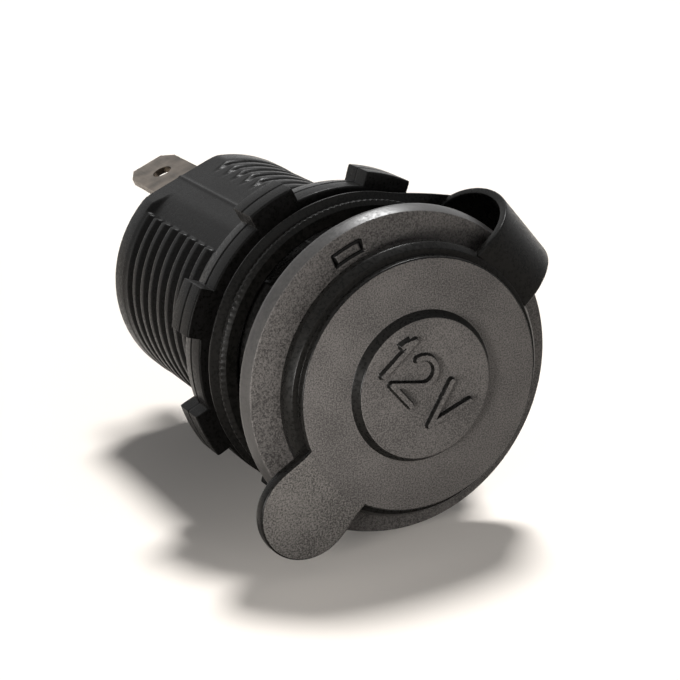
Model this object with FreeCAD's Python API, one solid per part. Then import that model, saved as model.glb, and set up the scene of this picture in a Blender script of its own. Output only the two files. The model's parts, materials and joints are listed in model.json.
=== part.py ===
import FreeCAD, Part
import math
import os

from FreeCAD import Vector

# Panel-mount accessory power socket with a rubber cap, in millimetres.
# Y is the socket's axis and the flange faces -Y. Z is up. The origin is on the axis,
# in the plane of the flange's rear face, which seats on the panel.

# Clocking about the axis, in degrees from +Z towards +X
HOUSING_ANGLE_DEG = -24.2
NUT_ANGLE_DEG = -27.5
CAP_ANGLE_DEG = 48.7

# Flange and mouth of the housing
FLANGE_THICKNESS = 3.0
FLANGE_OVERHANG = 4.0
FLANGE_DRAFT = 0.3
FLANGE_BACK_CHAMFER = 0.5
FLANGE_FRONT_CHAMFER = 0.15
MOUTH_WALL = 1.15
MOUTH_COLLAR_HEIGHT = 1.0
MOUTH_CHAMFER = 0.25

# Threaded barrel
BARREL_WALL = 2.55
THREAD_DEPTH = 0.7
THREAD_PITCH = 2.45
NECK_LENGTH = 1.0
COLLAR_OVER_THREAD = 0.1
END_COLLAR_LENGTH = 2.6
END_CHAMFER = 0.35
FLAT_DEPTH = 0.9

# Rear plate and the rim behind it
PLATE_THICKNESS = 4.2
REAR_RIM_DEPTH = 3.9
REAR_RIM_WIDTH = 1.2

# Contact sleeve, rolled from sheet
SLEEVE_BORE_RADIUS = 10.5
SLEEVE_SHEET = 0.5
SLEEVE_LENGTH = 34.6
SLEEVE_LIP_WIDTH = 1.5
SLEEVE_LIP_RECESS = 2.4
SLEEVE_LIP_BEVEL = 0.3
SLEEVE_SEAM = 0.5
SPRING_WIDTH = 5.0
SPRING_LENGTH = 15.0
SPRING_START = 6.0
SPRING_SLOT = 0.7
SPRING_COUNT = 2

# Blade terminals
BLADE_WIDTH = 6.3
BLADE_SHEET = 0.8
BLADE_REACH = 11.5
BLADE_HOLE_RADIUS = 1.2
BLADE_HOLE_FROM_TIP = 4.9
BLADE_TIP_CHAMFER = 1.1
SHELL_BLADE_STAND_OFF = 1.1
STRIP_LENGTH = 17.0
STRIP_JOGGLE = 2.0
CENTRE_BLADE_OFFSET = 3.0
CENTRE_FOOT_TAIL = 3.2

# Rivets
RIVET_RADIUS = 1.2
RIVET_HEAD_RADIUS = 1.9
RIVET_HEAD = 0.55
RIVET_FROM_STRIP_END = 3.6
CENTRE_RIVET_RADIUS = 1.5
CENTRE_HEAD_RADIUS = 2.7
CENTRE_HEAD = 1.1
CENTRE_TAIL_RADIUS = 2.3
CENTRE_TAIL = 0.7

# Centre contact
CONTACT_SHEET = 0.6
CONTACT_SEAT_RADIUS = 3.0
CONTACT_RADIUS = 6.6
CONTACT_DISH = 1.4

# Ring nut
NUT_WIDTH = 4.4
NUT_RING_WALL = 2.7
NUT_REAR_BEVEL = 0.3
NUT_LUG_OVER_FLANGE = 0.6
NUT_LUG_WIDTH = 5.5
NUT_LUG_CHAMFER = 0.35
NUT_LUGS = 8
NUT_FROM_FLANGE = 11.3

# Rubber cap
CAP_EDGE_SETBACK = 1.18
CAP_EDGE_ROUND = 0.25
CAP_STEP = 0.9
CAP_SKIRT_WALL = 1.4
CAP_SKIRT_SHOULDER = 0.55
CAP_SKIRT_SLOPE = 0.75
CAP_PLATE = 2.07
BOSS_RADIUS = 8.18
BOSS_DRAFT = 0.6
BOSS_HEIGHT = 1.0
PLUG_WALL = 1.6
PLUG_TAPER = 0.7
TAB_NECK_WIDTH = 9.6
TAB_END_RADIUS = 5.3
TAB_END_DISTANCE = 17.4
TAB_THICKNESS = 1.4
TAB_EDGE_CHAMFER = 0.25

# Retaining ring and strap
RING_FROM_FLANGE = 7.0
RING_WIDTH = 2.2
RING_WALL = 2.6
RING_TAPER = 0.7
RING_EDGE_BEVEL = 0.3
STRAP_WIDTH = 9.2
STRAP_THICKNESS = 0.9
STRAP_FRONT_BEND = 6.65
STRAP_REAR_BEND = 7.66
STRAP_OVER_FLANGE = 3.25
STRAP_BELOW_FACE = 1.02

# Clearances
SEAT_CLEARANCE = 0.05
SLIDE_CLEARANCE = 0.3
SLIP_CLEARANCE = 0.2
PLUG_CLEARANCE = 0.65
CHANNEL_CLEARANCE = 0.1

# Places along the axis that follow from the sizes above
FACE_Y = -FLANGE_THICKNESS
COLLAR_Y = FACE_Y - MOUTH_COLLAR_HEIGHT
LIP_Y = COLLAR_Y + SLEEVE_LIP_RECESS
SLEEVE_END_Y = LIP_Y + SLEEVE_LENGTH
PLATE_Y = SLEEVE_END_Y + SLIDE_CLEARANCE + CONTACT_DISH + CONTACT_SHEET
PLATE_REAR_Y = PLATE_Y + PLATE_THICKNESS
REAR_Y = PLATE_REAR_Y + REAR_RIM_DEPTH
BLADE_TIP_Y = REAR_Y + BLADE_REACH
CAP_FACE_Y = COLLAR_Y - CAP_PLATE
STRAP_FRONT_Y = CAP_FACE_Y + STRAP_BELOW_FACE
STRAP_APEX_Y = STRAP_FRONT_Y + STRAP_FRONT_BEND
END_COLLAR_Y = REAR_Y - END_COLLAR_LENGTH
THREAD_TURNS = int((END_COLLAR_Y - NECK_LENGTH) / THREAD_PITCH)

# Radii that follow from the sizes above
SLEEVE_RADIUS = SLEEVE_BORE_RADIUS + SLEEVE_SHEET
SLEEVE_SEAT_RADIUS = SLEEVE_RADIUS + SEAT_CLEARANCE
LIP_RADIUS = SLEEVE_BORE_RADIUS + SLEEVE_LIP_WIDTH
MOUTH_RADIUS = LIP_RADIUS + SEAT_CLEARANCE
MOUTH_COLLAR_RADIUS = MOUTH_RADIUS + MOUTH_WALL
CAP_SKIRT_BORE_RADIUS = MOUTH_COLLAR_RADIUS + SLIDE_CLEARANCE
CAP_SKIRT_RADIUS = CAP_SKIRT_BORE_RADIUS + CAP_SKIRT_WALL
CAP_EDGE_RADIUS = CAP_SKIRT_RADIUS - CAP_EDGE_SETBACK
THREAD_ROOT_RADIUS = SLEEVE_SEAT_RADIUS + BARREL_WALL
THREAD_RADIUS = THREAD_ROOT_RADIUS + THREAD_DEPTH
COLLAR_RADIUS = THREAD_RADIUS + COLLAR_OVER_THREAD
FLAT_DISTANCE = THREAD_RADIUS - FLAT_DEPTH
FLANGE_RADIUS = THREAD_RADIUS + FLANGE_OVERHANG
SLIP_RADIUS = COLLAR_RADIUS + SLIP_CLEARANCE
RING_RADIUS = SLIP_RADIUS + RING_WALL
NUT_RING_RADIUS = SLIP_RADIUS + NUT_RING_WALL
NUT_LUG_RADIUS = FLANGE_RADIUS + NUT_LUG_OVER_FLANGE
STRAP_REACH = FLANGE_RADIUS + STRAP_OVER_FLANGE
RIVET_HOLE_RADIUS = RIVET_RADIUS + SEAT_CLEARANCE
CENTRE_HOLE_RADIUS = CENTRE_RIVET_RADIUS + SEAT_CLEARANCE
SHELL_BLADE_DISTANCE = SLEEVE_RADIUS + SHELL_BLADE_STAND_OFF
CHANNEL_TOP = SHELL_BLADE_DISTANCE + BLADE_SHEET / 2.0 + CHANNEL_CLEARANCE

AXIS = Vector(0, 1, 0)
CENTRE = Vector(0, 0, 0)
FULL_TURN = 360.0


def face_of(points):
    """A flat face from corners given as vectors."""
    return Part.Face(Part.makePolygon(points + points[:1]))


def turned(profile):
    """A solid of revolution about the socket's axis, from (radius, y) corners."""
    face = face_of([Vector(radius, y, 0) for radius, y in profile])
    solid = face.revolve(CENTRE, AXIS, FULL_TURN)
    return Part.Solid(solid.Shells[0]) if solid.Volume > 0 else solid.reversed()


def disc(radius, start, length):
    """A round bar on the socket's axis."""
    return Part.makeCylinder(radius, length, Vector(0, start, 0), AXIS)


def block(width, start, end, low, high):
    """A block centred on X, from start to end along Y and from low to high along Z."""
    return Part.makeBox(width, end - start, high - low, Vector(-width / 2.0, start, low))


def clocked(shape, degrees):
    """The shape turned about the socket's axis, from +Z towards +X."""
    copy = shape.copy()
    copy.rotate(CENTRE, AXIS, degrees)
    return copy


def thread_profile():
    """Corners of the barrel's ridges, from its rear end to the flange."""
    corners = [(THREAD_ROOT_RADIUS, NECK_LENGTH + THREAD_TURNS * THREAD_PITCH)]
    for turn in reversed(range(THREAD_TURNS)):
        root = NECK_LENGTH + turn * THREAD_PITCH
        corners.append((THREAD_RADIUS, root + THREAD_PITCH / 2.0))
        corners.append((THREAD_ROOT_RADIUS, root))
    corners.append((COLLAR_RADIUS, NECK_LENGTH))
    return corners


def housing():
    """Flange, mouth collar and threaded barrel with two flats, moulded as one piece."""
    mouth = [
        (MOUTH_RADIUS + MOUTH_CHAMFER, COLLAR_Y),
        (MOUTH_RADIUS, COLLAR_Y + MOUTH_CHAMFER),
        (MOUTH_RADIUS, LIP_Y + SLEEVE_SHEET),
        (SLEEVE_SEAT_RADIUS, LIP_Y + SLEEVE_SHEET),
        (SLEEVE_SEAT_RADIUS, PLATE_REAR_Y),
        (SLEEVE_SEAT_RADIUS - REAR_RIM_WIDTH, PLATE_REAR_Y),
        (SLEEVE_SEAT_RADIUS - REAR_RIM_WIDTH, REAR_Y),
    ]
    end_collar = [
        (COLLAR_RADIUS - END_CHAMFER, REAR_Y),
        (COLLAR_RADIUS, REAR_Y - END_CHAMFER),
        (COLLAR_RADIUS, END_COLLAR_Y),
        (THREAD_ROOT_RADIUS, END_COLLAR_Y),
    ]
    flange = [
        (COLLAR_RADIUS, 0.0),
        (FLANGE_RADIUS - FLANGE_BACK_CHAMFER, 0.0),
        (FLANGE_RADIUS, -FLANGE_BACK_CHAMFER),
        (FLANGE_RADIUS - FLANGE_DRAFT, FACE_Y + FLANGE_FRONT_CHAMFER),
        (FLANGE_RADIUS - FLANGE_DRAFT - FLANGE_FRONT_CHAMFER, FACE_Y),
        (MOUTH_COLLAR_RADIUS, FACE_Y),
        (MOUTH_COLLAR_RADIUS, COLLAR_Y + MOUTH_CHAMFER),
        (MOUTH_COLLAR_RADIUS - MOUTH_CHAMFER, COLLAR_Y),
    ]
    body = turned(mouth + end_collar + thread_profile() + flange)
    outside = block(2 * FLANGE_RADIUS, 0.0, REAR_Y + END_CHAMFER, FLAT_DISTANCE, FLANGE_RADIUS)
    body = body.cut(outside).cut(clocked(outside, FULL_TURN / 2.0))
    channel_width = BLADE_WIDTH + 2 * CHANNEL_CLEARANCE
    channel_start = REAR_Y - STRIP_LENGTH - CHANNEL_CLEARANCE
    channel = block(channel_width, channel_start, REAR_Y + END_CHAMFER, SLEEVE_BORE_RADIUS, CHANNEL_TOP)
    return clocked(body.cut(channel), HOUSING_ANGLE_DEG)


def spring_slots():
    """The U-shaped cuts that free the sleeve's spring tongues."""
    reach = LIP_RADIUS + SLEEVE_SHEET
    outer = block(SPRING_WIDTH + 2 * SPRING_SLOT, SPRING_START, SPRING_START + SPRING_LENGTH, 0.0, reach)
    tongue_start = SPRING_START + SPRING_SLOT
    tongue = block(SPRING_WIDTH, tongue_start, SPRING_START + SPRING_LENGTH, 0.0, reach)
    slot = outer.cut(tongue)
    step = FULL_TURN / SPRING_COUNT
    return [clocked(slot, (index + 0.5) * step) for index in range(SPRING_COUNT)]


def rivet_place():
    """Where the shell rivet's axis stands along the socket."""
    return REAR_Y - STRIP_LENGTH + RIVET_FROM_STRIP_END


def contact_shell():
    """Rolled contact sleeve with an open seam, a lip at the mouth and two spring tongues."""
    sleeve = turned([
        (SLEEVE_BORE_RADIUS, LIP_Y + SLEEVE_LIP_BEVEL),
        (SLEEVE_BORE_RADIUS + SLEEVE_LIP_BEVEL, LIP_Y),
        (LIP_RADIUS, LIP_Y),
        (LIP_RADIUS, LIP_Y + SLEEVE_SHEET),
        (SLEEVE_RADIUS, LIP_Y + SLEEVE_SHEET),
        (SLEEVE_RADIUS, SLEEVE_END_Y),
        (SLEEVE_BORE_RADIUS, SLEEVE_END_Y),
    ])
    seam_low = -LIP_RADIUS - SLEEVE_SHEET
    seam = block(SLEEVE_SEAM, LIP_Y - SLEEVE_SHEET, SLEEVE_END_Y + SLEEVE_SHEET, seam_low, 0.0)
    hole = Part.makeCylinder(RIVET_HOLE_RADIUS, LIP_RADIUS, Vector(0, rivet_place(), 0), Vector(0, 0, 1))
    sleeve = sleeve.cut(seam).cut(hole)
    for slot in spring_slots():
        sleeve = sleeve.cut(slot)
    return clocked(sleeve, HOUSING_ANGLE_DEG)


def blade_hole(place, low, high):
    """The detent hole of a blade, across the blade's sheet."""
    return Part.makeCylinder(BLADE_HOLE_RADIUS, high - low, Vector(0, place, low), Vector(0, 0, 1))


def tip_corners(low, high):
    """The two wedges that are cut from a blade's tip."""
    wedges = []
    for side in (-1, 1):
        corner = Vector(side * BLADE_WIDTH / 2.0, BLADE_TIP_Y, low)
        back = Vector(0, -2.0 * BLADE_TIP_CHAMFER, 0)
        across = Vector(-side * BLADE_TIP_CHAMFER, 0, 0)
        wedge = face_of([corner, corner + back, corner + across])
        wedges.append(wedge.extrude(Vector(0, 0, high - low)))
    return wedges


def finished_blade(strip, low, high):
    """A blade with its detent hole and its chamfered tip."""
    blade = strip.cut(blade_hole(BLADE_TIP_Y - BLADE_HOLE_FROM_TIP, low, high))
    for wedge in tip_corners(low, high):
        blade = blade.cut(wedge)
    return blade


def shell_terminal():
    """Joggled strip that lies on the sleeve and leaves the housing as a blade."""
    pad_low = SLEEVE_RADIUS + SEAT_CLEARANCE
    blade_low = SHELL_BLADE_DISTANCE - BLADE_SHEET / 2.0
    start = REAR_Y - STRIP_LENGTH
    bend = start + 2.0 * RIVET_FROM_STRIP_END
    lower = [(start, pad_low), (bend, pad_low), (bend + STRIP_JOGGLE, blade_low), (BLADE_TIP_Y, blade_low)]
    upper = [(y, z + BLADE_SHEET) for y, z in reversed(lower)]
    side = face_of([Vector(-BLADE_WIDTH / 2.0, y, z) for y, z in lower + upper])
    strip = side.extrude(Vector(BLADE_WIDTH, 0, 0))
    strip = finished_blade(strip, pad_low, CHANNEL_TOP)
    shank = Vector(0, rivet_place(), 0)
    strip = strip.cut(Part.makeCylinder(RIVET_HOLE_RADIUS, CHANNEL_TOP, shank, Vector(0, 0, 1)))
    return clocked(strip, HOUSING_ANGLE_DEG)


def shell_rivet():
    """Rivet with its foot inside the sleeve's wall and its head on the strip."""
    foot = SLEEVE_BORE_RADIUS + CHANNEL_CLEARANCE
    seat = SLEEVE_RADIUS + SEAT_CLEARANCE + BLADE_SHEET
    place = rivet_place()
    up = Vector(0, 0, 1)
    shank = Part.makeCylinder(RIVET_RADIUS, seat + RIVET_HEAD - foot, Vector(0, place, foot), up)
    head = Part.makeCylinder(RIVET_HEAD_RADIUS, RIVET_HEAD, Vector(0, place, seat), up)
    return clocked(shank.fuse(head).removeSplitter(), HOUSING_ANGLE_DEG)


def rear_plate():
    """Insulating plate that rests on the barrel's rear rim and carries the centre contact."""
    plate = disc(SLEEVE_RADIUS, PLATE_Y, PLATE_THICKNESS)
    return plate.cut(disc(CENTRE_HOLE_RADIUS, PLATE_Y, PLATE_THICKNESS))


def centre_contact():
    """Dished contact at the bottom of the socket."""
    seat = PLATE_Y
    return turned([
        (CENTRE_HOLE_RADIUS, seat - CONTACT_SHEET),
        (CENTRE_HOLE_RADIUS, seat),
        (CONTACT_SEAT_RADIUS, seat),
        (CONTACT_RADIUS, seat - CONTACT_DISH),
        (CONTACT_RADIUS, seat - CONTACT_DISH - CONTACT_SHEET),
        (CONTACT_SEAT_RADIUS, seat - CONTACT_SHEET),
    ])


def centre_rivet():
    """Domed rivet through the contact, the rear plate and the terminal's foot."""
    under = PLATE_Y - CONTACT_SHEET
    tail = PLATE_REAR_Y + BLADE_SHEET
    dome_radius = (CENTRE_HEAD_RADIUS ** 2 + CENTRE_HEAD ** 2) / (2.0 * CENTRE_HEAD)
    ball = Part.makeSphere(dome_radius, Vector(0, under - CENTRE_HEAD + dome_radius, 0))
    dome = ball.common(disc(dome_radius, under - CENTRE_HEAD, CENTRE_HEAD))
    shank = disc(CENTRE_RIVET_RADIUS, under, tail + CENTRE_TAIL - under)
    upset = disc(CENTRE_TAIL_RADIUS, tail, CENTRE_TAIL)
    return dome.fuse(shank).fuse(upset).removeSplitter()


def centre_terminal():
    """Bent terminal: a foot under the rivet's tail and a blade to the rear."""
    low = CENTRE_BLADE_OFFSET - BLADE_SHEET / 2.0
    high = CENTRE_BLADE_OFFSET + BLADE_SHEET / 2.0
    foot_end = PLATE_REAR_Y + BLADE_SHEET
    foot = block(BLADE_WIDTH, PLATE_REAR_Y, foot_end, -CENTRE_FOOT_TAIL, high)
    foot = foot.cut(disc(CENTRE_HOLE_RADIUS, PLATE_REAR_Y, BLADE_SHEET))
    blade = block(BLADE_WIDTH, PLATE_REAR_Y, BLADE_TIP_Y, low, high)
    bent = foot.fuse(finished_blade(blade, low, high)).removeSplitter()
    return clocked(bent, HOUSING_ANGLE_DEG)


def panel_nut():
    """Ring nut with lugs round its edge; its bore clears the barrel's crests."""
    front = NUT_FROM_FLANGE
    rear = front + NUT_WIDTH
    ring = turned([
        (SLIP_RADIUS + NUT_REAR_BEVEL, front),
        (SLIP_RADIUS, front + NUT_REAR_BEVEL),
        (SLIP_RADIUS, rear - NUT_REAR_BEVEL),
        (SLIP_RADIUS + NUT_REAR_BEVEL, rear),
        (NUT_RING_RADIUS - NUT_REAR_BEVEL, rear),
        (NUT_RING_RADIUS, front + NUT_WIDTH / 2.0),
        (NUT_RING_RADIUS, front),
    ])
    root = (SLIP_RADIUS + NUT_RING_RADIUS) / 2.0
    lug = block(NUT_LUG_WIDTH, front, rear, root, NUT_LUG_RADIUS + NUT_LUG_WIDTH)
    lug = lug.common(disc(NUT_LUG_RADIUS, front, NUT_WIDTH))
    outer = [edge for edge in lug.Edges if edge.BoundBox.ZMin > NUT_RING_RADIUS]
    lug = lug.makeChamfer(NUT_LUG_CHAMFER, outer)
    nut = ring
    for index in range(NUT_LUGS):
        nut = nut.fuse(clocked(lug, index * FULL_TURN / NUT_LUGS))
    return clocked(nut.removeSplitter(), NUT_ANGLE_DEG)


def cap_disc():
    """Cap plate with its raised boss, stepped skirt and hollow tapered plug."""
    step_y = CAP_FACE_Y + CAP_STEP
    shoulder = CAP_SKIRT_RADIUS - CAP_SKIRT_SHOULDER
    plug_top = MOUTH_RADIUS - PLUG_CLEARANCE
    plug_end = LIP_Y - SLIDE_CLEARANCE
    return turned([
        (0.0, CAP_FACE_Y - BOSS_HEIGHT),
        (BOSS_RADIUS - BOSS_DRAFT, CAP_FACE_Y - BOSS_HEIGHT),
        (BOSS_RADIUS, CAP_FACE_Y),
        (CAP_EDGE_RADIUS - CAP_EDGE_ROUND, CAP_FACE_Y),
        (CAP_EDGE_RADIUS, CAP_FACE_Y + CAP_EDGE_ROUND),
        (CAP_EDGE_RADIUS, step_y),
        (shoulder, step_y),
        (CAP_SKIRT_RADIUS, step_y + CAP_SKIRT_SLOPE),
        (CAP_SKIRT_RADIUS, FACE_Y - SLIDE_CLEARANCE),
        (CAP_SKIRT_BORE_RADIUS, FACE_Y - SLIDE_CLEARANCE),
        (CAP_SKIRT_BORE_RADIUS, COLLAR_Y),
        (plug_top, COLLAR_Y),
        (plug_top - PLUG_TAPER, plug_end),
        (plug_top - PLUG_TAPER - PLUG_WALL, plug_end),
        (plug_top - PLUG_WALL, COLLAR_Y),
        (0.0, COLLAR_Y),
    ])


def pull_tab():
    """Tongue flush with the cap's face, with a round end."""
    start = Vector(0, CAP_FACE_Y, -TAB_END_DISTANCE)
    end = Part.makeCylinder(TAB_END_RADIUS, TAB_THICKNESS, start, AXIS)
    neck_end = CAP_FACE_Y + TAB_THICKNESS
    neck = block(TAB_NECK_WIDTH, CAP_FACE_Y, neck_end, -TAB_END_DISTANCE, -BOSS_RADIUS)
    tongue = end.fuse(neck).removeSplitter()
    rim = [
        edge
        for edge in tongue.Edges
        if edge.BoundBox.ZMax < -CAP_EDGE_RADIUS and edge.Length > TAB_END_RADIUS
    ]
    return tongue.makeChamfer(TAB_EDGE_CHAMFER, rim)


def cap():
    """Rubber cap: plate, boss, skirt and plug with the pull tab opposite the strap."""
    return clocked(cap_disc().fuse(pull_tab()).removeSplitter(), CAP_ANGLE_DEG)


def retaining_ring():
    """Rubber ring round the barrel that keeps the cap on the socket."""
    front = RING_FROM_FLANGE
    rear = front + RING_WIDTH
    return turned([
        (SLIP_RADIUS, front + RING_EDGE_BEVEL),
        (SLIP_RADIUS + RING_EDGE_BEVEL, front),
        (RING_RADIUS - RING_TAPER, front),
        (RING_RADIUS, rear - RING_EDGE_BEVEL),
        (RING_RADIUS - RING_EDGE_BEVEL, rear),
        (SLIP_RADIUS + RING_EDGE_BEVEL, rear),
        (SLIP_RADIUS, rear - RING_EDGE_BEVEL),
    ])


def strap_side(inset):
    """One face of the strap, set in from its outer face: edges from the cap out and back to the ring."""
    front_centre = STRAP_REACH - STRAP_FRONT_BEND
    rear_centre = STRAP_REACH - STRAP_REAR_BEND
    front_radius = STRAP_FRONT_BEND - inset
    rear_radius = STRAP_REAR_BEND - inset
    landing = math.acos((RING_RADIUS - RING_TAPER - rear_centre) / STRAP_REAR_BEND)

    def front(angle):
        height = front_centre + front_radius * math.cos(angle)
        return Vector(0, STRAP_APEX_Y - front_radius * math.sin(angle), height)

    def rear(angle):
        height = rear_centre + rear_radius * math.cos(angle)
        return Vector(0, STRAP_APEX_Y + rear_radius * math.sin(angle), height)

    knee = front(math.pi / 2.0)
    root = Vector(0, knee.y, CAP_EDGE_RADIUS)
    return [
        Part.LineSegment(root, knee).toShape(),
        Part.Arc(knee, front(math.pi / 4.0), front(0.0)).toShape(),
        Part.Arc(rear(0.0), rear(landing / 2.0), rear(landing)).toShape(),
    ]


def cap_strap():
    """Rubber strap that bends round the flange from the cap's skirt to the ring."""
    outer = strap_side(0.0)
    inner = strap_side(STRAP_THICKNESS)
    ends = [
        Part.LineSegment(outer[0].Vertexes[0].Point, inner[0].Vertexes[0].Point).toShape(),
        Part.LineSegment(outer[-1].Vertexes[-1].Point, inner[-1].Vertexes[-1].Point).toShape(),
    ]
    outline = Part.Wire(Part.__sortEdges__(outer + inner + ends))
    band = Part.Face(outline).extrude(Vector(STRAP_WIDTH, 0, 0))
    band.translate(Vector(-STRAP_WIDTH / 2.0, 0, 0))
    band = clocked(band, CAP_ANGLE_DEG).cut(cap())
    root_front = STRAP_FRONT_Y - STRAP_THICKNESS
    band = band.cut(disc(CAP_SKIRT_RADIUS, root_front, FACE_Y - root_front))
    band = band.cut(disc(RING_RADIUS - RING_TAPER, 0.0, RING_FROM_FLANGE + RING_WIDTH))
    return band.cut(retaining_ring())


PIECES = {
    "housing": housing,
    "contact_shell": contact_shell,
    "rear_plate": rear_plate,
    "centre_contact": centre_contact,
    "centre_rivet": centre_rivet,
    "centre_terminal": centre_terminal,
    "shell_terminal": shell_terminal,
    "shell_rivet": shell_rivet,
    "panel_nut": panel_nut,
    "cap": cap,
    "cap_strap": cap_strap,
    "retaining_ring": retaining_ring,
}


def main():
    """Build every piece and write it to its own file."""
    os.makedirs("parts", exist_ok=True)
    for name, build in PIECES.items():
        shape = build()
        solids = len(shape.Solids)
        print(name, "solids", solids, "volume", round(shape.Volume, 3), "valid", shape.isValid())
        shape.exportStep("parts/" + name + ".step")


main()
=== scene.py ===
"""Looks of a panel-mount accessory power socket with a rubber cap.

Lengths are in millimetres and become metres when a mesh is made. The socket's axis is Y, its flange
faces -Y and Z is up. Angles about the axis are in degrees from +Z towards +X.
"""

import json
import logging
import math
from dataclasses import dataclass
from enum import Enum
from typing import Any, Sequence

import bmesh
import bpy
import numpy as np
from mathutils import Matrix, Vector

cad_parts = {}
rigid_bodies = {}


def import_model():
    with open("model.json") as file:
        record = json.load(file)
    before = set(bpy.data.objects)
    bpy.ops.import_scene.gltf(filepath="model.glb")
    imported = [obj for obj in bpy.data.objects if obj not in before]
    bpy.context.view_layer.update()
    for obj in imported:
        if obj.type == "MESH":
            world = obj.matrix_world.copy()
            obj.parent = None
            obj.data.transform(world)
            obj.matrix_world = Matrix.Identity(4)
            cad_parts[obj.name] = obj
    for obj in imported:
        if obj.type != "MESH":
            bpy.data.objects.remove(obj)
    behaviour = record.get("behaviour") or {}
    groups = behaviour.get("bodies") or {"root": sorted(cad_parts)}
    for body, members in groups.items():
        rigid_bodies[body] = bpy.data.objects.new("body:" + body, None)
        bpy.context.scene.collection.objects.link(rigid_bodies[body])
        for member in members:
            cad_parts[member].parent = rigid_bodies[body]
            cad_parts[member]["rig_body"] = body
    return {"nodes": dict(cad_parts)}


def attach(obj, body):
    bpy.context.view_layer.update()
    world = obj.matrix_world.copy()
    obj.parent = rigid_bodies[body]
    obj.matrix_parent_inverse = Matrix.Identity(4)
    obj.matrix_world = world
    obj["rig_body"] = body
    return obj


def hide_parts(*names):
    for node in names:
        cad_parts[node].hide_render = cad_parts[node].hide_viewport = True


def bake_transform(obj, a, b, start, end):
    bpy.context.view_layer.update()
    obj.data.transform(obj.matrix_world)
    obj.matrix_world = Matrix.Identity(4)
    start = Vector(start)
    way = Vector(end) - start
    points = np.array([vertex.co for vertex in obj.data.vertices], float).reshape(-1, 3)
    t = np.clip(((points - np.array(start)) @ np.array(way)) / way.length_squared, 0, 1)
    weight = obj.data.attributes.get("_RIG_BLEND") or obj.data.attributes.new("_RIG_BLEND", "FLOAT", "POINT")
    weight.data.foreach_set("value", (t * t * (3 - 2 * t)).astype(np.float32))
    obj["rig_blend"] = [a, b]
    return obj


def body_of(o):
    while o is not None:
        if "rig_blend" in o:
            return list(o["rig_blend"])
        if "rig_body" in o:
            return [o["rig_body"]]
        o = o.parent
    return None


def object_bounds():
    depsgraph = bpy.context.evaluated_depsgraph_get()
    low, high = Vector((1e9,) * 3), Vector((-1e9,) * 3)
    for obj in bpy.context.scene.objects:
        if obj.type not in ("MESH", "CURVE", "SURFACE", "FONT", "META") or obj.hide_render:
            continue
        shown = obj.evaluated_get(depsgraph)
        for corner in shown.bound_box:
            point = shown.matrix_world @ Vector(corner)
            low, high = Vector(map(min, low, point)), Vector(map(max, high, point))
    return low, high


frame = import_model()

LOG = logging.getLogger("socket")
MM = 0.001
# The box of the CAD alone, taken before any piece is made
CAD_BOX = [list(corner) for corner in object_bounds()]

Corner = tuple[float, float, float]
# Half the angle at a corner, in radians, past which its two sides count as one straight line
STRAIGHT_HALF = 1.565
# The most of a side that the rounding of one of its corners may take up
SIDE_SHARE = 0.48
# Below this a length in millimetres, or a sine, counts as nothing
TINY = 1e-6
# The least cosine to divide a distance by, which puts the result beyond every radius in use
LEAST_COSINE = 0.05
# Decimals of a degree to which two angles are compared
ANGLE_DECIMALS = 4
WHITE = (1.0, 1.0, 1.0, 1.0)


class Body(Enum):
    """The moving bodies that pieces ride on."""

    SOCKET = "socket_body"
    CAP = "cap_body"
    NUT = "nut_body"


class Slot(Enum):
    """The record's material slots."""

    NYLON = "black_nylon"
    RUBBER = "black_rubber"
    BRASS = "nickel_brass"
    BOARD = "fibre_board"


def linear(code: str) -> tuple[float, float, float, float]:
    """Turn an sRGB hex colour into linear light, by the curve of the sRGB standard.

    Args:
        code: the colour as #rrggbb.

    Returns:
        Red, green, blue and an alpha of 1.
    """
    parts = [int(code[place : place + 2], 16) / 255.0 for place in (1, 3, 5)]
    low = [part / 12.92 if part <= 0.04045 else ((part + 0.055) / 1.055) ** 2.4 for part in parts]
    return low[0], low[1], low[2], 1.0


def add_node(
    tree: bpy.types.NodeTree,
    kind: str,
    inputs: dict[str | int, Any] | None = None,
    stops: Sequence[tuple[float, Any]] = (),
    **settings: Any,
) -> bpy.types.Node:
    """Add one node with its settings, constants and links.

    Args:
        tree: the node tree to add to.
        kind: the node's type name.
        inputs: per input socket, a constant or the output socket that feeds it.
        stops: place and linear colour of each end of a colour ramp.
        settings: attributes of the node itself.

    Returns:
        The new node.
    """
    node = tree.nodes.new(kind)
    for name, value in settings.items():
        setattr(node, name, value)
    for number, (place, colour) in enumerate(stops):
        node.color_ramp.elements[number].position = place
        node.color_ramp.elements[number].color = colour
    for name, value in (inputs or {}).items():
        if isinstance(value, bpy.types.NodeSocket):
            tree.links.new(value, node.inputs[name])
        else:
            node.inputs[name].default_value = value
    return node


def smooth(value: np.ndarray, low: float, high: float) -> np.ndarray:
    """Rise from 0 to 1 along the cubic 3t^2 - 2t^3.

    Args:
        value: where to look.
        low: up to here the result is 0.
        high: from here on it is 1.

    Returns:
        A share from 0 to 1 for each value.
    """
    share = np.clip((value - low) / (high - low), 0.0, 1.0)
    return share * share * (3.0 - 2.0 * share)


def softened_min(first: np.ndarray, second: np.ndarray, round_mm: float) -> np.ndarray:
    """The smaller of two radii, with the crease between them rounded off.

    Within round_mm of each other the two are joined by a parabola that touches both.

    Args:
        first: radii on a grid.
        second: other radii on the same grid.
        round_mm: how close they are where the rounding starts.

    Returns:
        The joined radii.
    """
    gap = np.clip(1.0 - np.abs(first - second) / round_mm, 0.0, 1.0)
    return np.minimum(first, second) - gap * gap * round_mm / 4.0


def wrapped(degrees: np.ndarray) -> np.ndarray:
    """Angles brought into -180 to 180 degrees."""
    return (degrees + 180.0) % 360.0 - 180.0


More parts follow.
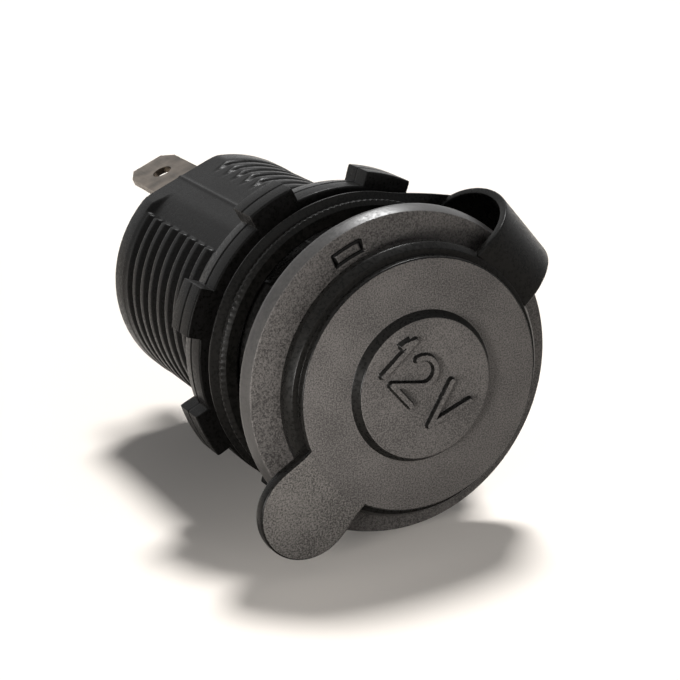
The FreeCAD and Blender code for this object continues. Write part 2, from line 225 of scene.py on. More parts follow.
def about_axis(radius: np.ndarray, y: np.ndarray, degrees: np.ndarray) -> np.ndarray:
    """Points about the axis: x = r sin a and z = r cos a.

    Args:
        radius: distances from the axis.
        y: places along the axis.
        degrees: angles about the axis. The three are spread over one grid.

    Returns:
        Points in millimetres, with a last dimension of three.
    """
    angle = np.radians(degrees)
    radius, y, angle = np.broadcast_arrays(radius, y, angle)
    return np.stack([radius * np.sin(angle), y, radius * np.cos(angle)], axis=-1)


def clocking(step: float, fine: Sequence[tuple[float, float, float]] = ()) -> np.ndarray:
    """Angles round the axis, closer together where a shape has edges.

    Args:
        step: the plain spacing in degrees.
        fine: stretches as (middle, half width, spacing), in degrees.

    Returns:
        Sorted angles from 0 to 360, without the closing one.
    """
    base = np.arange(0.0, 360.0, step)
    for middle, half, _ in fine:
        base = base[np.abs(wrapped(base - middle)) > half]
    extra = [middle + np.arange(-half, half + spacing / 2.0, spacing) for middle, half, spacing in fine]
    return np.unique(np.round(np.concatenate([base, *extra]) % 360.0, ANGLE_DECIMALS))


def rounded(corners: Sequence[Corner], steps: int = 4, closed: bool = True) -> np.ndarray:
    """A profile whose corners are arcs of circles.

    Each corner is cut back along both its sides by radius / tan(half angle) and the cut is bridged by
    the circle that touches both sides.

    Args:
        corners: radius, place along the axis and rounding of each corner.
        steps: spans in each arc.
        closed: whether the last corner joins the first one. An open profile keeps its end points.

    Returns:
        Profile points as an (n, 2) array.
    """
    data = np.asarray(corners, float)
    points = []
    last = len(data) - 1
    for index, (radius, y, rounding) in enumerate(data):
        here = np.array([radius, y])
        if rounding == 0.0 or (not closed and index in (0, last)):
            points.append(here[None])
            continue
        before = data[index - 1, :2] - here
        after = data[(index + 1) % len(data), :2] - here
        before_length, after_length = np.linalg.norm(before), np.linalg.norm(after)
        before, after = before / before_length, after / after_length
        half = 0.5 * math.acos(float(np.clip(before @ after, -1.0, 1.0)))
        if half > STRAIGHT_HALF:
            reach = min(rounding, SIDE_SHARE * before_length, SIDE_SHARE * after_length)
            points.append(here + np.linspace(-reach, reach, steps + 1)[:, None] * after)
            continue
        cut = min(rounding / math.tan(half), SIDE_SHARE * before_length, SIDE_SHARE * after_length)
        radius_used = cut * math.tan(half)
        bisector = (before + after) / np.linalg.norm(before + after)
        centre = here + bisector * radius_used / math.sin(half)
        start, end = here + before * cut - centre, here + after * cut - centre
        turn = math.acos(float(np.clip(start @ end / radius_used**2, -1.0, 1.0)))
        share = np.linspace(0.0, 1.0, steps + 1)[:, None]
        swept = np.sin((1.0 - share) * turn) * start + np.sin(share * turn) * end
        points.append(centre + swept / math.sin(turn))
    return np.concatenate(points)


def surface(
    name: str,
    grid: np.ndarray,
    close_rows: bool = False,
    close_columns: bool = True,
    poles: Sequence[np.ndarray | None] = (None, None),
) -> bpy.types.Object:
    """Make one closed mesh from a grid of points.

    Neighbouring points make quads. A pole is one point that closes the first or the last row with a
    fan. The enclosed volume is the sum of a . (b x c) / 6 over the triangles, and where it comes out
    negative the faces are turned round, so that they point outwards.

    Args:
        name: the piece's name.
        grid: points in millimetres, rows by columns by three.
        close_rows: join the last row to the first one.
        close_columns: join the last column to the first one.
        poles: the point before the first row and the one after the last row.

    Returns:
        The new object, linked to the scene.
    """
    rows, columns = grid.shape[:2]
    index = np.arange(rows * columns).reshape(rows, columns)
    down = np.vstack([index, index[:1]]) if close_rows else index
    both = np.hstack([down, down[:, :1]]) if close_columns else down
    quads = np.stack([both[:-1, :-1], both[:-1, 1:], both[1:, 1:], both[1:, :-1]], axis=-1)
    quads = quads.reshape(-1, 4)
    points = grid.reshape(-1, 3)
    fans = []
    ring = np.append(index[0], index[0, 0]), np.append(index[-1], index[-1, 0])
    for pole, row, reverse in zip(poles, ring, (True, False)):
        if pole is None:
            continue
        tip = np.full(columns, len(points))
        points = np.vstack([points, pole])
        fan = np.stack([row[:-1], row[1:], tip], axis=-1)
        fans.append(fan[:, ::-1] if reverse else fan)
    triangles = np.concatenate([quads[:, [0, 1, 2]], quads[:, [0, 2, 3]], *fans])
    first, second, third = (points[triangles[:, place]] for place in range(3))
    if np.einsum("ij,ij->", first, np.cross(second, third)) < 0.0:
        quads = quads[:, ::-1]
        fans = [fan[:, ::-1] for fan in fans]
    faces = quads.tolist() + [face for fan in fans for face in fan.tolist()]
    mesh = bpy.data.meshes.new(name)
    mesh.from_pydata((points * MM).tolist(), [], faces)
    mesh.polygons.foreach_set("use_smooth", np.ones(len(mesh.polygons), bool))
    mesh.update()
    piece = bpy.data.objects.new(name, mesh)
    bpy.context.scene.collection.objects.link(piece)
    return piece


def join_doubles(piece: bpy.types.Object, distance_mm: float) -> None:
    """Merge the vertices of a mesh that lie within a distance of each other.

    Args:
        piece: the mesh object.
        distance_mm: how close two vertices are to be one.
    """
    work = bmesh.new()
    work.from_mesh(piece.data)
    bmesh.ops.remove_doubles(work, verts=work.verts, dist=distance_mm * MM)
    bmesh.ops.dissolve_degenerate(work, edges=work.edges, dist=distance_mm * MM)
    work.to_mesh(piece.data)
    work.free()
    piece.data.polygons.foreach_set("use_smooth", np.ones(len(piece.data.polygons), bool))


def dress(piece: bpy.types.Object, finish: bpy.types.Material) -> None:
    """Give a piece one material in its only slot."""
    piece.data.materials.clear()
    piece.data.materials.append(finish)


@dataclass(frozen=True)
class MouldedFinish:
    """A moulded plastic or rubber: dark resin with the grain of the tool's spark-eroded face.

    The eye sees a nearly black colour that greys where light grazes the grain, faint cloudy changes of
    gloss from uneven cooling, and fine pits that break up the highlights. The real grain is 0.1 mm wide
    or less; it is drawn a little coarser, as it needs to be to show.
    """

    name: str
    dark: str
    pale: str
    gloss_rough: float
    matt_rough: float
    grain_mm: float
    grain_depth_mm: float
    cloud_mm: float = 6.0
    specular: float = 0.5
    cloud_share: float = 0.25
    tone_low: float = 0.5
    tone_high: float = 0.75

    def material(self) -> bpy.types.Material:
        """Build the node tree: grain and cloud noises drive colour, roughness and bump.

        Returns:
            The material.
        """
        made = bpy.data.materials.new(self.name)
        made.use_nodes = True
        tree = made.node_tree
        tree.nodes.clear()
        place = add_node(tree, "ShaderNodeTexCoord")
        grain = add_node(
            tree,
            "ShaderNodeTexNoise",
            {
                "Vector": place.outputs["Object"],
                "Scale": 1.0 / (self.grain_mm * MM),
                "Detail": 3.0,
                "Roughness": 0.6,
            },
        )
        cloud = add_node(
            tree,
            "ShaderNodeTexNoise",
            {"Vector": place.outputs["Object"], "Scale": 1.0 / (self.cloud_mm * MM), "Detail": 2.0},
        )
        mixed = add_node(
            tree,
            "ShaderNodeMath",
            {0: cloud.outputs["Fac"], 1: self.cloud_share, 2: grain.outputs["Fac"]},
            operation="MULTIPLY_ADD",
        )
        tone = add_node(
            tree,
            "ShaderNodeMapRange",
            {"Value": mixed.outputs[0], "From Min": self.tone_low, "From Max": self.tone_high},
        )
        colour = add_node(
            tree,
            "ShaderNodeValToRGB",
            {"Fac": tone.outputs[0]},
            stops=[(0.0, linear(self.dark)), (1.0, linear(self.pale))],
        )
        rough = add_node(
            tree,
            "ShaderNodeMapRange",
            {"Value": tone.outputs[0], "To Min": self.gloss_rough, "To Max": self.matt_rough},
        )
        bump = add_node(
            tree,
            "ShaderNodeBump",
            {"Height": grain.outputs["Fac"], "Strength": 1.0, "Distance": self.grain_depth_mm * MM},
        )
        shader = add_node(
            tree,
            "ShaderNodeBsdfPrincipled",
            {
                "Base Color": colour.outputs["Color"],
                "Roughness": rough.outputs[0],
                "Normal": bump.outputs["Normal"],
                "Specular IOR Level": self.specular,
                "IOR": 1.5,
            },
        )
        add_node(tree, "ShaderNodeOutputMaterial", {"Surface": shader.outputs["BSDF"]})
        return made


@dataclass(frozen=True)
class PlatedFinish:
    """Nickel plated on rolled brass sheet: a warm grey metal with faint rolling lines.

    The eye sees a soft metallic sheen, streaked along the sheet, with dull warm patches where fingers
    and air have tarnished the plating.
    """

    name: str
    bright: str
    dull: str
    gloss_rough: float
    matt_rough: float
    streak_mm: float
    tarnish_mm: float
    stretch: float = 0.06
    streak_depth_mm: float = 0.02
    streak_strength: float = 0.4
    tarnish_low: float = 0.35
    tarnish_high: float = 0.65

    def material(self) -> bpy.types.Material:
        """Build the node tree: stretched noise for the rolling lines, round noise for tarnish.

        Returns:
            The material.
        """
        made = bpy.data.materials.new(self.name)
        made.use_nodes = True
        tree = made.node_tree
        tree.nodes.clear()
        place = add_node(tree, "ShaderNodeTexCoord")
        along = add_node(
            tree,
            "ShaderNodeMapping",
            {"Vector": place.outputs["Object"], "Scale": (1.0, self.stretch, 1.0)},
        )
        streak = add_node(
            tree,
            "ShaderNodeTexNoise",
            {"Vector": along.outputs[0], "Scale": 1.0 / (self.streak_mm * MM), "Detail": 2.0},
        )
        tarnish = add_node(
            tree,
            "ShaderNodeTexNoise",
            {"Vector": place.outputs["Object"], "Scale": 1.0 / (self.tarnish_mm * MM), "Detail": 4.0},
        )
        patches = add_node(
            tree,
            "ShaderNodeMapRange",
            {"Value": tarnish.outputs["Fac"], "From Min": self.tarnish_low, "From Max": self.tarnish_high},
        )
        colour = add_node(
            tree,
            "ShaderNodeValToRGB",
            {"Fac": patches.outputs[0]},
            stops=[(0.0, linear(self.dull)), (1.0, linear(self.bright))],
        )
        rough = add_node(
            tree,
            "ShaderNodeMapRange",
            {"Value": streak.outputs["Fac"], "To Min": self.gloss_rough, "To Max": self.matt_rough},
        )
        bump = add_node(
            tree,
            "ShaderNodeBump",
            {
                "Height": streak.outputs["Fac"],
                "Strength": self.streak_strength,
                "Distance": self.streak_depth_mm * MM,
            },
        )
        shader = add_node(
            tree,
            "ShaderNodeBsdfPrincipled",
            {
                "Base Color": colour.outputs["Color"],
                "Metallic": 1.0,
                "Roughness": rough.outputs[0],
                "Normal": bump.outputs["Normal"],
            },
        )
        add_node(tree, "ShaderNodeOutputMaterial", {"Surface": shader.outputs["BSDF"]})
        return made


# Glass-filled nylon, injection moulded in a sparked tool: a dry dark grey with a fine even grain.
GRAINED_NYLON = MouldedFinish(
    "grained_nylon",
    dark="#282625",
    pale="#524f4d",
    gloss_rough=0.45,
    matt_rough=0.7,
    grain_mm=0.16,
    grain_depth_mm=0.06,
    specular=0.25,
)
# The same nylon from a polished half of the tool: satin black with soft highlights on every edge.
SATIN_NYLON = MouldedFinish(
    "satin_nylon",
    dark="#090908",
    pale="#100f0f",
    gloss_rough=0.26,
    matt_rough=0.42,
    grain_mm=0.3,
    grain_depth_mm=0.008,
    specular=0.07,
)
# The same nylon where the tool was only brushed: an even charcoal, between grained and satin.
SMOOTH_NYLON = MouldedFinish(
    "smooth_nylon",
    dark="#242322",
    pale="#302e2d",
    gloss_rough=0.32,
    matt_rough=0.46,
    grain_mm=0.3,
    grain_depth_mm=0.01,
    specular=0.45,
)
# Thermoplastic rubber, moulded in a blasted tool: matt charcoal with an even grain.
GRAINED_RUBBER = MouldedFinish(
    "grained_rubber",
    dark="#2c2a29",
    pale="#575452",
    gloss_rough=0.45,
    matt_rough=0.7,
    grain_mm=0.16,
    grain_depth_mm=0.06,
    specular=0.25,
)
# The same rubber where the tool was blasted harder: a coarser, paler grain.
COARSE_RUBBER = MouldedFinish(
    "coarse_rubber",
    dark="#262423",
    pale="#605d5a",
    gloss_rough=0.42,
    matt_rough=0.72,
    grain_mm=0.19,
    grain_depth_mm=0.09,
    specular=0.28,
)
# The same rubber from polished cavities: smooth black, slight sheen; as painted shade on cap walls and
# skirt.
SMOOTH_RUBBER_AND_SHADE = MouldedFinish(
    "smooth_rubber_and_shade",
    dark="#0a0a09",
    pale="#121110",
    gloss_rough=0.24,
    matt_rough=0.38,
    grain_mm=0.4,
    grain_depth_mm=0.006,
    specular=0.075,
)
# Paper and phenolic resin board, pressed and punched: brown black with a mottled face.
PHENOLIC_BOARD = MouldedFinish(
    "phenolic_board",
    dark="#1d1611",
    pale="#2e241c",
    gloss_rough=0.4,
    matt_rough=0.6,
    grain_mm=0.6,
    grain_depth_mm=0.01,
    cloud_mm=3.0,
)
# Nickel plating on brass sheet, rolled and blanked, dulled by handling.
NICKEL_PLATE = PlatedFinish(
    "nickel_plated_brass",
    bright="#6b6157",
    dull="#463f37",
    gloss_rough=0.3,
    matt_rough=0.48,
    streak_mm=0.25,
    tarnish_mm=2.4,
)


def face_values(piece: bpy.types.Object, name: str) -> np.ndarray:
    """Read one vector of every face of a piece.

    Args:
        piece: the mesh object.
        name: what to read, center (in metres) or normal.

    Returns:
        The vectors, as an (n, 3) array.
    """
    values = np.zeros(len(piece.data.polygons) * 3)
    piece.data.polygons.foreach_get(name, values)
    return values.reshape(-1, 3)


def dress_faces(piece: bpy.types.Object, finishes: Sequence[MouldedFinish], chosen: np.ndarray) -> None:
    """Give a piece several finishes and each of its faces one of them.

    Args:
        piece: the mesh object, which has no material yet.
        finishes: the finishes in the order of the piece's slots.
        chosen: for each face, the place of its finish in that order.
    """
    for finish in finishes:
        piece.data.materials.append(finish.material())
    piece.data.polygons.foreach_set("material_index", chosen.astype(np.int32))


@dataclass
class Housing:
    """Flange, mouth collar and threaded barrel with two flats, moulded in one piece."""

    angle: float = -24.2
    flange_radius: float = 18.3
    flange_draft: float = 0.8
    flange_face: float = -2.0
    flange_front_edge: float = 0.16
    flange_rear_edge: float = 0.6
    rim_front: float = -1.9
    rim_rear: float = -0.1
    collar_radius: float = 13.2
    collar_face: float = -4.0
    collar_edge: float = 0.25
    mouth_radius: float = 12.05
    step: float = -1.1
    seat_radius: float = 11.05
    inner_corner: float = 0.1
    barrel_radius: float = 14.4
    neck: float = 1.0
    neck_corner: float = 0.2
    neck_points: int = 3
    thread_radius: float = 14.3
    thread_depth: float = 0.58
    thread_pitch: float = 2.45
    thread_run_out: float = 1.0
    thread_row: float = 0.28
    ridge_root: float = 0.06
    ridge_crest: float = 0.62
    ridge_stop: float = 25.0
    ridge_full: float = 27.2
    end_collar: float = 40.8
    end_collar_points: int = 6
    rear: float = 43.4
    rear_edge: float = 0.35
    opening_radius: float = 9.85
    opening_edge: float = 0.2
    plate_rear: float = 39.5
    flat_distance: float = 13.4
    flat_crease: float = 0.12
    flat_line_height: float = 0.12
    flat_line_width: float = 0.22
    flat_span: float = 29.0
    flat_step: float = 0.5
    plain_step: float = 1.3
    channel_half: float = 3.25
    channel_top: float = 12.6
    mark_angle: float = -24.5
    mark_half_angle: float = 6.0
    mark_inner: float = 14.8
    mark_outer: float = 16.0
    mark_clear_inside: float = 1.0
    mark_clear_outside: float = 0.8
    mark_margin: float = 0.5
    mark_row: float = 0.1
    mark_groove: float = 0.36
    mark_depth: float = 0.3
    mark_floor_share: float = 0.25
    mark_wall_share: float = 0.75

    def front_profile(self) -> np.ndarray:
        """Trace the front: from the sleeve's step over the mouth, the face and the flange to the neck.

        Returns:
            Radius and place along the axis of each point.
        """
        face = rounded(
            [
                (self.seat_radius, self.step, 0.0),
                (self.mouth_radius, self.step, self.inner_corner),
                (self.mouth_radius, self.collar_face, self.collar_edge),
                (self.collar_radius, self.collar_face, self.collar_edge),
                (self.collar_radius, self.flange_face, self.inner_corner),
                (self.mark_inner - self.mark_clear_inside, self.flange_face, 0.0),
            ],
            closed=False,
        )
        inner, outer = self.mark_inner - self.mark_margin, self.mark_outer + self.mark_margin
        marked = np.arange(inner, outer, self.mark_row)
        plain = np.stack([marked, np.full_like(marked, self.flange_face)], axis=1)
        edge = rounded(
            [
                (self.mark_outer + self.mark_clear_outside, self.flange_face, 0.0),
                (self.flange_radius - self.flange_draft, self.flange_face, self.flange_front_edge),
                (self.flange_radius, 0.0, self.flange_rear_edge),
                (self.barrel_radius, 0.0, self.neck_corner),
                (self.barrel_radius, self.neck, 0.0),
            ],
            closed=False,
        )
        return np.concatenate([face, plain, edge])

    def rear_profile(self) -> np.ndarray:
        """Trace the rear: from the end of the thread over the end collar and into the opening.

        Returns:
            Radius and place along the axis of each point.
        """
        return rounded(
            [
                (self.barrel_radius, self.end_collar, 0.0),
                (self.barrel_radius, self.rear, self.rear_edge),
                (self.opening_radius, self.rear, self.opening_edge),
                (self.opening_radius, self.plate_rear, self.inner_corner),
                (self.seat_radius, self.plate_rear, 0.0),
            ],
            closed=False,
        )

    def thread(self, y: np.ndarray, degrees: np.ndarray) -> np.ndarray:
        """Radius of the screw thread.

        The phase is y / pitch less the share of a turn, so that one ridge winds along the barrel. A
        ridge is a clipped triangle wave with a broad crest and a narrow root. It stops short of one side
        of each flat, and it fades into the neck and the end collar over the run-out.

        Args:
            y: places along the axis, as a column.
            degrees: angles, as a row.

        Returns:
            Radii on the grid.
        """
        phase = (y / self.thread_pitch - degrees / 360.0) % 1.0
        ridge = smooth(1.0 - 2.0 * np.abs(phase - 0.5), self.ridge_root, self.ridge_crest)
        turned = wrapped(2.0 * (degrees - self.angle)) / 2.0
        beside_flat = smooth(-turned, self.ridge_stop, self.ridge_full)
        ridge = ridge * np.where(turned < 0.0, beside_flat, 1.0)
        radius = self.thread_radius - self.thread_depth * (1.0 - ridge)
        ends = np.minimum(y - self.neck, self.end_collar - y)
        return self.barrel_radius + (radius - self.barrel_radius) * smooth(ends, 0.0, self.thread_run_out)

    def flats(self, radius: np.ndarray, degrees: np.ndarray) -> np.ndarray:
        """Cut barrel radii back to the two flats, each with a faint parting line down its middle.

        A flat stands at distance / cos(angle from its middle), and the parting line is a bell curve
        of the distance from the middle.

        Args:
            radius: radii on the grid.
            degrees: angles, as a row.

        Returns:
            The radii that are left.
        """
        turned = np.radians(wrapped(2.0 * (degrees - self.angle)) / 2.0)
        plane = self.flat_distance / np.cos(turned)
        line = self.flat_line_height * np.exp(-((plane * np.sin(turned) / self.flat_line_width) ** 2))
        return softened_min(radius, plane + line, self.flat_crease)

    def channel(self, radius: np.ndarray, degrees: np.ndarray) -> np.ndarray:
        """Widen the rear opening where the terminal leaves: the nearer of the channel's top and side.

        Args:
            radius: radii of the opening, as a column.
            degrees: angles, as a row.

        Returns:
            Radii on the grid.
        """
        turned = np.radians(wrapped(degrees - self.angle))
        side = self.channel_half / np.maximum(np.abs(np.sin(turned)), TINY)
        notch = np.minimum(self.channel_top / np.maximum(np.cos(turned), LEAST_COSINE), side)
        return np.where(np.abs(turned) < math.pi / 4.0, np.maximum(radius, notch), radius)

    def mark(self, radius: np.ndarray, degrees: np.ndarray) -> np.ndarray:
        """Depth of the index mark, a grooved oblong outline on the flange's face.

        The groove follows the zero line of the distance to the oblong's edge.

        Args:
            radius: distances from the axis, as a column.
            degrees: angles, as a row.

        Returns:
            Depths on the grid.
        """
        middle = (self.mark_inner + self.mark_outer) / 2.0
        across = np.radians(wrapped(degrees - self.mark_angle)) * radius
        beyond_across = np.abs(across) - math.radians(self.mark_half_angle) * middle
        beyond_along = np.abs(radius - middle) - (self.mark_outer - self.mark_inner) / 2.0
        distance = np.abs(np.maximum(beyond_across, beyond_along))
        floor, wall = self.mark_floor_share * self.mark_groove, self.mark_wall_share * self.mark_groove
        return self.mark_depth * (1.0 - smooth(distance, floor, wall))

    def grid(self) -> np.ndarray:
        """Lay out the whole moulding as profile rows by angle columns.

        The last points of the front profile and the first ones of the rear profile belong to the barrel,
        so the flats cut them too.

        Returns:
            Points in millimetres.
        """
        flats = [(self.angle + turn, self.flat_span, self.flat_step) for turn in (0.0, 180.0)]
        degrees = clocking(self.plain_step, flats)[None, :]
        front, rear = self.front_profile(), self.rear_profile()
        flange, neck = front[: -self.neck_points], front[-self.neck_points :]
        collar, opening = rear[: self.end_collar_points], rear[self.end_collar_points :]
        rows_y = np.arange(self.neck + self.thread_row, self.end_collar, self.thread_row)[:, None]
        barrel_rows = np.concatenate([neck[:, 1:], rows_y, collar[:, 1:]])
        radii = np.concatenate(
            [
                np.repeat(neck[:, :1], degrees.shape[1], axis=1),
                self.thread(rows_y, degrees),
                np.repeat(collar[:, :1], degrees.shape[1], axis=1),
            ]
        )
        barrel = about_axis(self.flats(radii, degrees), barrel_rows, degrees)
        face = about_axis(flange[:, :1], flange[:, 1:], degrees)
        on_face = np.abs(flange[:, 1:] - self.flange_face) < TINY
        face[..., 1] += np.where(on_face, self.mark(flange[:, :1], degrees), 0.0)
        inside = about_axis(self.channel(opening[:, :1], degrees), opening[:, 1:], degrees)
        return np.concatenate([face, barrel, inside])

    def build(self) -> bpy.types.Object:
        """Make the moulding, dress it and let it stand for the CAD housing.

        The front is grained, the flange's rim smooth and everything behind it satin.

        Returns:
            The piece.
        """
        piece = surface("housing_moulding", self.grid(), close_rows=True)
        finishes = [GRAINED_NYLON, SATIN_NYLON, SMOOTH_NYLON]
        middle = face_values(piece, "center")
        behind_face = middle[:, 1] > self.rim_front * MM
        outside = np.hypot(middle[:, 0], middle[:, 2]) > (self.flange_radius - self.flange_draft) * MM
        on_rim = behind_face & outside & (middle[:, 1] < self.rim_rear * MM)
        chosen = np.where(behind_face, finishes.index(SATIN_NYLON), finishes.index(GRAINED_NYLON))
        dress_faces(piece, finishes, np.where(on_rim, finishes.index(SMOOTH_NYLON), chosen))
        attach(piece, Body.SOCKET.value)
        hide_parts("housing")
        return piece


@dataclass
class RingNut:
    """Panel nut: a ring with eight square lugs, which moves along the barrel."""

    angle: float = -27.5
    lugs: int = 8
    front: float = 11.3
    rear: float = 15.7
    bore: float = 14.6
    ring_radius: float = 17.3
    ring_rear_radius: float = 17.0
    lug_radius: float = 18.84
    lug_half: float = 2.75
    lug_ease: float = 0.12
    edge: float = 0.22
    corner: float = 0.1
    corner_steps: int = 5
    bevel: float = 0.3
    groove_half: float = 0.2
    groove_depth: float = 0.16
    groove_corner: float = 0.06
    plain_step: float = 1.5
    edge_shift: float = 0.6
    edge_span: float = 1.2
    edge_step: float = 0.1

    def section(self, middle: float, rear: float) -> np.ndarray:
        """Trace the nut's closed section.

        Args:
            middle: the outer radius from the front to the groove.
            rear: the outer radius at the rear.

        Returns:
            Radius and place along the axis of each point.
        """
        half_way = (self.front + self.rear) / 2.0
        return rounded(
            [
                (self.bore + self.bevel, self.front, self.corner),
                (middle, self.front, self.edge),
                (middle, half_way - self.groove_half, self.groove_corner),
                (middle - self.groove_depth, half_way, self.groove_corner),
                (middle, half_way + self.groove_half, self.groove_corner),
                (rear, self.rear, self.edge),
                (self.bore + self.bevel, self.rear, self.corner),
                (self.bore, self.rear - self.bevel, self.corner),
                (self.bore, self.front + self.bevel, self.corner),
            ],
            steps=self.corner_steps,
        )

    def lug_share(self, degrees: np.ndarray) -> np.ndarray:
        """How far each angle reaches from the ring (0) to a lug's crown (1).

        A lug's flat side stands at half width / sin(angle from the lug's middle); that radius, eased at
        both ends, gives the share.

        Args:
            degrees: angles about the axis.

        Returns:
            A share from 0 to 1 for each angle.
        """
        pitch = 360.0 / self.lugs
        turned = np.radians(np.abs((degrees - self.angle + pitch / 2.0) % pitch - pitch / 2.0))
        side = self.lug_half / np.maximum(np.sin(turned), TINY)
        share = (side - self.ring_radius) / (self.lug_radius - self.ring_radius)
        return smooth(share, -self.lug_ease, 1.0 + self.lug_ease)

    def build(self) -> bpy.types.Object:
        """Blend the ring's section into the lug's section round the axis and make the nut.

        Returns:
            The piece.
        """
        pitch = 360.0 / self.lugs
        edge_angle = math.degrees(math.asin(self.lug_half / self.ring_radius)) - self.edge_shift
        middles = [self.angle + pitch * lug for lug in range(self.lugs)]
        edges = [middle + side * edge_angle for middle in middles for side in (-1, 1)]
        fine = [(edge, self.edge_span, self.edge_step) for edge in edges]
        degrees = clocking(self.plain_step, fine)[None, :]
        ring = self.section(self.ring_radius, self.ring_rear_radius)
        lug = self.section(self.lug_radius, self.lug_radius)
        share = self.lug_share(degrees)
        radius = ring[:, :1] + (lug[:, :1] - ring[:, :1]) * share
        y = ring[:, 1:] + (lug[:, 1:] - ring[:, 1:]) * share
        piece = surface("ring_nut", about_axis(radius, y, degrees), close_rows=True)
        dress(piece, SATIN_NYLON.material())
        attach(piece, Body.NUT.value)
        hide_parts("panel_nut")
        return piece


@dataclass
class Cap:
    """Rubber cap with a raised boss, a raised voltage and a pull tab."""

    angle: float = 48.7
    face: float = -6.07
    boss_height: float = 1.0
    boss_radius: float = 8.18
    boss_draft: float = 0.6
    edge_radius: float = 13.72
    step: float = 0.9
    shoulder: float = 14.35
    skirt_radius: float = 14.9
    skirt_slope: float = 0.75
    skirt_end: float = -3.3
    skirt_bore: float = 13.5
    plate_under: float = -4.0
    plug_radius: float = 11.4
    plug_end_radius: float = 10.7
    plug_end: float = -1.9
    plug_wall: float = 1.6
    soft_edge: float = 0.3
    face_edge: float = 0.25
    plain_edge: float = 0.2
    inner_corner: float = 0.15
    step_corner: float = 0.06
    pole_gap: float = 1.0
    columns: int = 512
    text_reach: float = 6.1
    text_row: float = 0.075
    text_margin: float = 0.3
    stroke_half: float = 0.36
    stroke_soft: float = 0.08
    stroke_height: float = 0.5
    shaded_wall_lean: float = 0.88
    tab_neck_half: float = 4.8
    tab_neck_rows: int = 24
    tab_root_gap: float = 1.5
    tab_widen_share: float = 0.75
    tab_end_radius: float = 5.3
    tab_end_rows: int = 49
    tab_end_distance: float = 17.4
    tab_thickness: float = 1.4
    tab_edge: float = 0.3
    tab_margin: float = 1.0
    tab_proud: float = 0.03
    tab_sink: float = 0.25
    tab_rise: float = 2.0
    tab_weld: float = 0.001

    def profile(self) -> np.ndarray:
        """Trace the cap from just outside the lettered field round to the inside of the plug.

        Returns:
            Radius and place along the axis of each point.
        """
        top = self.face - self.boss_height
        return rounded(
            [
                (self.text_reach + self.text_margin, top, 0.0),
                (self.boss_radius - self.boss_draft, top, self.soft_edge),
                (self.boss_radius, self.face, self.inner_corner),
                (self.edge_radius, self.face, self.face_edge),
                (self.edge_radius, self.face + self.step, self.step_corner),
                (self.shoulder, self.face + self.step, self.plain_edge),
                (self.skirt_radius, self.face + self.step + self.skirt_slope, self.soft_edge),
                (self.skirt_radius, self.skirt_end, self.plain_edge),
                (self.skirt_bore, self.skirt_end, self.inner_corner),
                (self.skirt_bore, self.plate_under, self.inner_corner),
                (self.plug_radius, self.plate_under, self.inner_corner),
                (self.plug_end_radius, self.plug_end, self.soft_edge),
                (self.plug_end_radius - self.plug_wall, self.plug_end, self.soft_edge),
                (self.plug_radius - self.plug_wall, self.plate_under, self.plain_edge),
                (self.pole_gap, self.plate_under, 0.0),
            ],
            closed=False,
        )

    def strokes(self) -> list[tuple[np.ndarray, np.ndarray]]:
        """Straight strokes of the raised 12V.

        The figure 2 is an arc of a circle, taken as short chords, then a slanting stroke and a foot.

        Returns:
            The start and the end of each stroke, to the right and up.
        """
        low, high = -2.4, 2.45
        one = [[-5.8, 1.15], [-5.1, high], [-5.1, low]]
        centre, radius = np.array([-1.9, 0.95]), 1.5
        bow_start, bow_end, bow_points = 165.0, -38.0, 12
        sweep = np.radians(np.linspace(bow_start, bow_end, bow_points))
        bow = centre + radius * np.stack([np.cos(sweep), np.sin(sweep)], axis=1)
        two = [*bow.tolist(), [-3.6, low], [-0.2, low]]
        vee = [[1.55, high], [3.2, low], [4.85, high]]
        runs = [np.asarray(run, float) for run in (one, two, vee)]
        return [(start, end) for run in runs for start, end in zip(run[:-1], run[1:])]

    def lettering(self, points: np.ndarray) -> np.ndarray:
        """Height of the lettering.

        The height falls from the full one inside a stroke's half width to nothing at its edge, by the
        distance to the nearest stroke.

        Args:
            points: places on the boss, to the right and up.

        Returns:
            A height for each point.
        """
        distance = np.full(points.shape[:-1], np.inf)
        for start, end in self.strokes():
            along = end - start
            share = np.clip((points - start) @ along / (along @ along), 0.0, 1.0)
            nearest = start + share[..., None] * along
            distance = np.minimum(distance, np.linalg.norm(points - nearest, axis=-1))
        crown, foot = self.stroke_half - self.stroke_soft, self.stroke_half + self.stroke_soft
        return self.stroke_height * (1.0 - smooth(distance, crown, foot))

    def build_disc(self) -> bpy.types.Object:
        """Make the cap's disc: fine rings over the lettered boss, then the revolved profile.

        Returns:
            The piece.
        """
        degrees = np.linspace(0.0, 360.0, self.columns, endpoint=False)[None, :]
        rings = np.arange(self.text_row, self.text_reach, self.text_row)[:, None]
        top = self.face - self.boss_height
        turned = np.radians(degrees - self.angle)
        written = np.stack([rings * np.sin(turned), rings * np.cos(turned)], axis=-1)
        boss = about_axis(rings, top - self.lettering(written), degrees)
        profile = self.profile()
        rest = about_axis(profile[:, :1], profile[:, 1:], degrees)
        poles = np.array([0.0, top, 0.0]), np.array([0.0, self.plate_under, 0.0])
        piece = surface("cap_moulding", np.concatenate([boss, rest]), poles=poles)
        # The skirt beyond the face's edge takes the smooth rubber; its darker colour there is painted shade.
        self.finish(piece, SMOOTH_RUBBER_AND_SHADE)
        return piece

